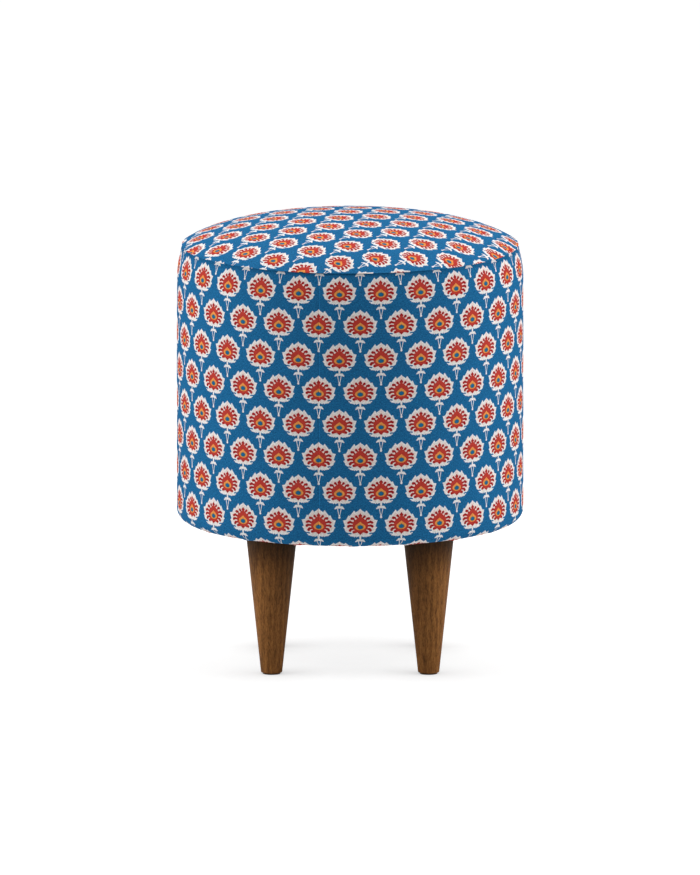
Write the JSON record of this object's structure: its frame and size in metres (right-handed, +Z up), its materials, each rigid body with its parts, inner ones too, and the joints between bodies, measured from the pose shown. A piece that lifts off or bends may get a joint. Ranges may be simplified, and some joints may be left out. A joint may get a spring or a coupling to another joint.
{
  "type": "upholstered tuffet",
  "caption": "Round padded stool: a cloth-covered drum with a domed seat on tapered round wooden legs.",
  "frame": {"origin": "on the floor, under the middle of the drum", "axes": "+Z up along the drum's axis, -Y towards the front, +X to the right of someone facing the front"},
  "size_m": [0.3594, 0.36, 0.4688],
  "materials": {
    "printed_cloth": "matt printed cotton weave, blue with off-white, red and orange-yellow sprigs",
    "lining_cloth": "black spunbond lining",
    "wadding": "loose polyester wadding",
    "foam": "open-cell upholstery foam",
    "plywood": "bare sanded plywood",
    "post_wood": "bare planed softwood",
    "wall_board": "bare bent hardboard",
    "leg_wood": "brown-stained wood, satin lacquer",
    "zinc_steel": "bright zinc plate",
    "felt": "pressed brown felt"
  },
  "bodies": {
    "root": {"base_board": "plywood", "top_board": "plywood", "wall_board": "wall_board", "seat_foam": "foam", "side_foam": "foam", "seat_wadding": "wadding", "side_wadding": "wadding", "top_cover": "printed_cloth", "side_cover": "printed_cloth", "dust_cover": "lining_cloth", "post_front": "post_wood", "base_screw_front": "zinc_steel", "top_screw_front": "zinc_steel", "post_right": "post_wood", "base_screw_right": "zinc_steel", "top_screw_right": "zinc_steel", "post_back": "post_wood", "base_screw_back": "zinc_steel", "top_screw_back": "zinc_steel", "post_left": "post_wood", "base_screw_left": "zinc_steel", "top_screw_left": "zinc_steel", "leg_front_left": "leg_wood", "leg_bolt_front_left": "zinc_steel", "tee_nut_front_left": "zinc_steel", "foot_pad_front_left": "felt", "leg_front_right": "leg_wood", "leg_bolt_front_right": "zinc_steel", "tee_nut_front_right": "zinc_steel", "foot_pad_front_right": "felt", "leg_back_left": "leg_wood", "leg_bolt_back_left": "zinc_steel", "tee_nut_back_left": "zinc_steel", "foot_pad_back_left": "felt", "leg_back_right": "leg_wood", "leg_bolt_back_right": "zinc_steel", "tee_nut_back_right": "zinc_steel", "foot_pad_back_right": "felt"}
  },
  "joints": []
}
